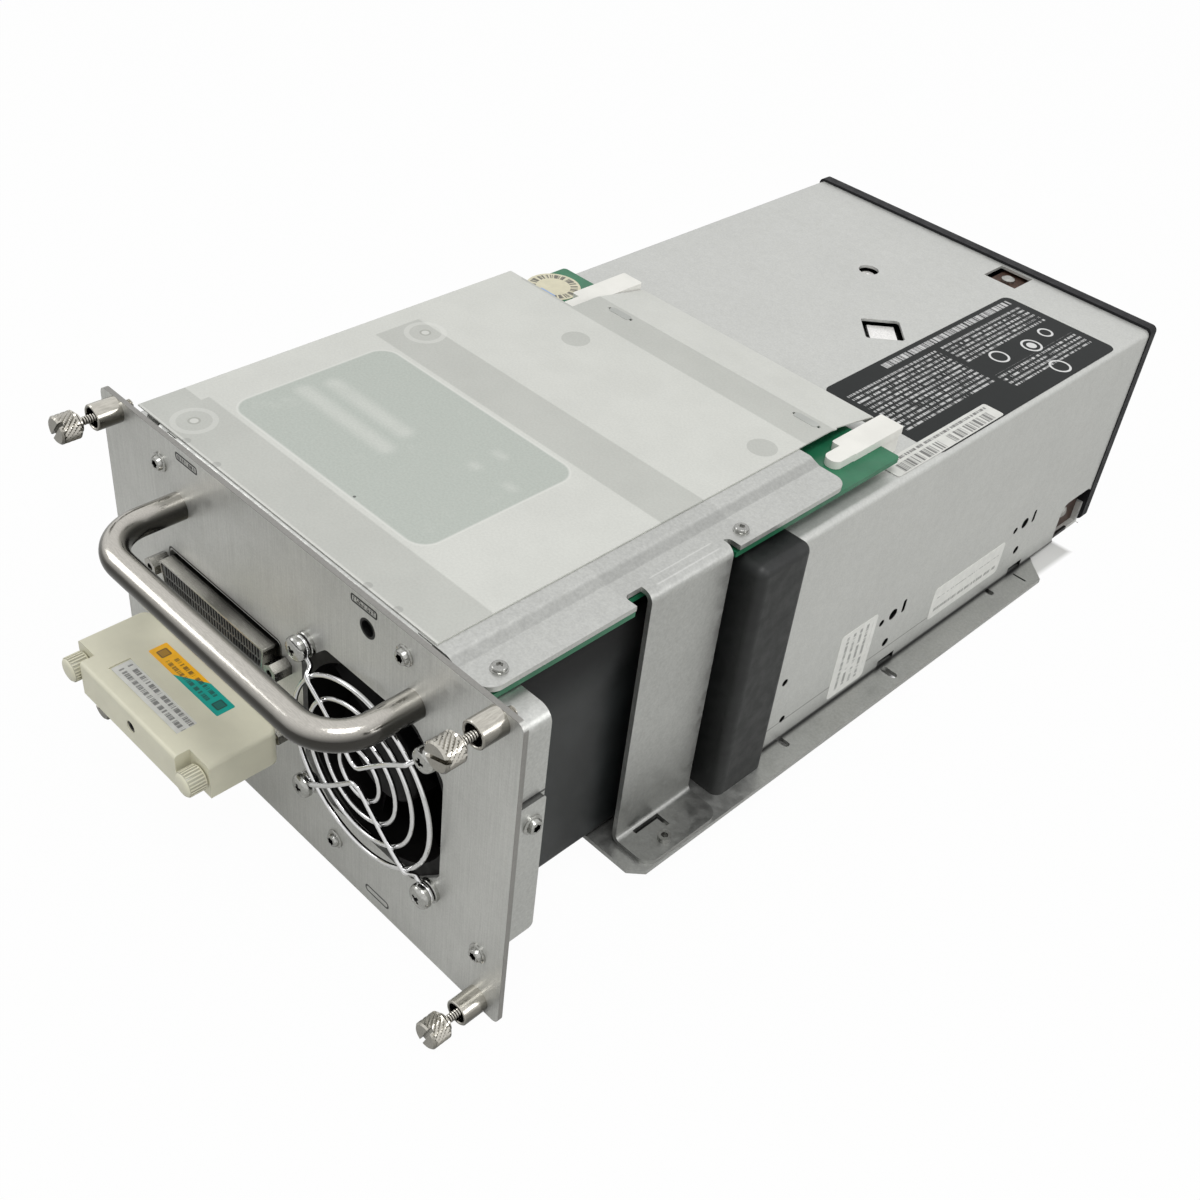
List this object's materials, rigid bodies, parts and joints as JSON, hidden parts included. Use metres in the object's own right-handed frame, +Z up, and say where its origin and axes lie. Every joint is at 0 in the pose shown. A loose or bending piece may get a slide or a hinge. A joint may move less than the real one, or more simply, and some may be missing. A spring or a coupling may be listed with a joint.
{
  "type": "data tape drive",
  "caption": "Full-height data tape drive on a steel library sled with handle, fan, captive screws, connector ports and terminator.",
  "frame": {"origin": "middle of the four captive screws, on the back face of the sled's front panel", "axes": "+X to the right when facing the handle panel, +Y from the panel towards the drive's bezel, +Z up"},
  "size_m": [0.1698, 0.3469, 0.1094],
  "materials": {
    "sheet_steel": "satin galvanised",
    "drive_zinc": "satin zinc plated",
    "stainless": "fine brushed",
    "nickel": "bright nickel",
    "cast_deck": "cast",
    "black_plastic": "satin",
    "black_rubber": "matte",
    "grey_plastic": "satin",
    "ivory_plastic": "fine satin",
    "white_plastic": "satin",
    "frosted_film": "frosted",
    "board_green": "solder mask",
    "copper": "bare copper",
    "smoked_lens": "gloss"
  },
  "bodies": {
    "sled": {"air_duct": "black_plastic", "board_chips": "black_plastic", "board_clips": "white_plastic", "board_screws": "nickel", "board_spacers": "nickel", "bridge_bracket": "sheet_steel", "button_switch": "black_plastic", "clamp_plates": "sheet_steel", "controller_board": "board_green", "cover_film": "frosted_film", "deck_posts": "nickel", "drive_base": "drive_zinc", "drive_bezel": "black_plastic", "drive_chassis": "cast_deck", "drive_cover": "drive_zinc", "drive_rear_panel": "drive_zinc", "drive_screws": "nickel", "duct_collar": "black_rubber", "fan_frame": "black_plastic", "fan_guard": "nickel", "fan_screws": "nickel", "fan_stator": "copper", "foot_rivets": "nickel", "front_panel": "sheet_steel", "ground_clips": "copper", "handle": "stainless", "handle_screws": "nickel", "jack_sockets": "nickel", "logic_board": "board_green", "mounting_tray": "sheet_steel", "panel_screws": "nickel", "port_board": "board_green", "rear_connectors": "black_plastic", "reel_motors": "sheet_steel", "screw_ferrules": "nickel", "scsi_inserts": "black_plastic", "scsi_shells": "nickel", "side_flanges": "sheet_steel", "status_lens": "smoked_lens"},
    "thumbscrew_top_left": {"thumbscrew_top_left": "nickel"},
    "thumbscrew_top_right": {"thumbscrew_top_right": "nickel"},
    "thumbscrew_bottom_left": {"thumbscrew_bottom_left": "nickel"},
    "thumbscrew_bottom_right": {"thumbscrew_bottom_right": "nickel"},
    "terminator": {"terminator_body": "ivory_plastic", "terminator_plug": "nickel", "terminator_insert": "nickel"},
    "terminator_screw_left": {"terminator_screw_left": "ivory_plastic"},
    "terminator_screw_right": {"terminator_screw_right": "ivory_plastic"},
    "fan_rotor": {"fan_rotor": "black_plastic"},
    "cartridge_door": {"cartridge_door": "black_plastic"},
    "eject_button": {"eject_button": "grey_plastic"},
    "cartridge_carrier": {"cartridge_carrier": "drive_zinc"},
    "take_up_reel": {"take_up_reel": "white_plastic"},
    "supply_clutch": {"supply_clutch": "black_plastic"},
    "guide_roller_a": {"guide_roller_a": "grey_plastic"},
    "guide_roller_b": {"guide_roller_b": "grey_plastic"},
    "guide_roller_c": {"guide_roller_c": "grey_plastic"},
    "guide_roller_d": {"guide_roller_d": "grey_plastic"},
    "head_block": {"head_block": "cast_deck"}
  },
  "joints": [
    {"name": "thumbscrew_top_left_push", "type": "slide", "parent": "sled", "child": "thumbscrew_top_left", "axis": [0, 1, 0], "range_m": [0, 0.0042]},
    {"name": "thumbscrew_top_right_push", "type": "slide", "parent": "sled", "child": "thumbscrew_top_right", "axis": [0, 1, 0], "range_m": [0, 0.0042]},
    {"name": "thumbscrew_bottom_left_push", "type": "slide", "parent": "sled", "child": "thumbscrew_bottom_left", "axis": [0, 1, 0], "range_m": [0, 0.0042]},
    {"name": "thumbscrew_bottom_right_push", "type": "slide", "parent": "sled", "child": "thumbscrew_bottom_right", "axis": [0, 1, 0], "range_m": [0, 0.0042]},
    {"name": "terminator_unplug", "type": "slide", "parent": "sled", "child": "terminator", "axis": [0, -1, 0], "range_m": [0, 0.009]},
    {"name": "terminator_screw_left_turn", "type": "hinge", "parent": "terminator", "child": "terminator_screw_left", "pos_m": [-0.05915, -0.0215, -0.01295], "axis": [0, -1, 0], "continuous": true},
    {"name": "terminator_screw_right_turn", "type": "hinge", "parent": "terminator", "child": "terminator_screw_right", "pos_m": [-0.00284, -0.0215, -0.01295], "axis": [0, -1, 0], "continuous": true},
    {"name": "fan_spin", "type": "hinge", "parent": "sled", "child": "fan_rotor", "pos_m": [0.032, 0.0125, -0.00045], "axis": [0, 1, 0], "continuous": true},
    {"name": "door_swing", "type": "hinge", "parent": "sled", "child": "cartridge_door", "pos_m": [0, 0.3031, 0.02975], "axis": [1, 0, 0], "range_deg": [-88, 0], "stiffness_Nm_per_rad": 0.01},
    {"name": "eject_press", "type": "slide", "parent": "sled", "child": "eject_button", "axis": [0, -1, 0], "range_m": [0, 0.0012], "stiffness_N_per_m": 500},
    {"name": "carrier_lower", "type": "slide", "parent": "sled", "child": "cartridge_carrier", "axis": [0, 0, -1], "range_m": [0, 0.005]},
    {"name": "take_up_spin", "type": "hinge", "parent": "sled", "child": "take_up_reel", "pos_m": [0, 0.1513, 0.00055], "axis": [0, 0, 1], "continuous": true},
    {"name": "supply_spin", "type": "hinge", "parent": "sled", "child": "supply_clutch", "pos_m": [0, 0.2433, -0.00445], "axis": [0, 0, 1], "continuous": true},
    {"name": "guide_roller_a_spin", "type": "hinge", "parent": "sled", "child": "guide_roller_a", "pos_m": [0.056, 0.1913, 0.00155], "axis": [0, 0, 1], "continuous": true},
    {"name": "guide_roller_b_spin", "type": "hinge", "parent": "sled", "child": "guide_roller_b", "pos_m": [0.0585, 0.1773, 0.00155], "axis": [0, 0, 1], "continuous": true},
    {"name": "guide_roller_c_spin", "type": "hinge", "parent": "sled", "child": "guide_roller_c", "pos_m": [0.0585, 0.1453, 0.00155], "axis": [0, 0, 1], "continuous": true},
    {"name": "guide_roller_d_spin", "type": "hinge", "parent": "sled", "child": "guide_roller_d", "pos_m": [0.0505, 0.1173, 0.00155], "axis": [0, 0, 1], "continuous": true},
    {"name": "head_travel", "type": "slide", "parent": "sled", "child": "head_block", "axis": [0, 0, 1], "range_m": [-0.0025, 0.0025]}
  ]
}
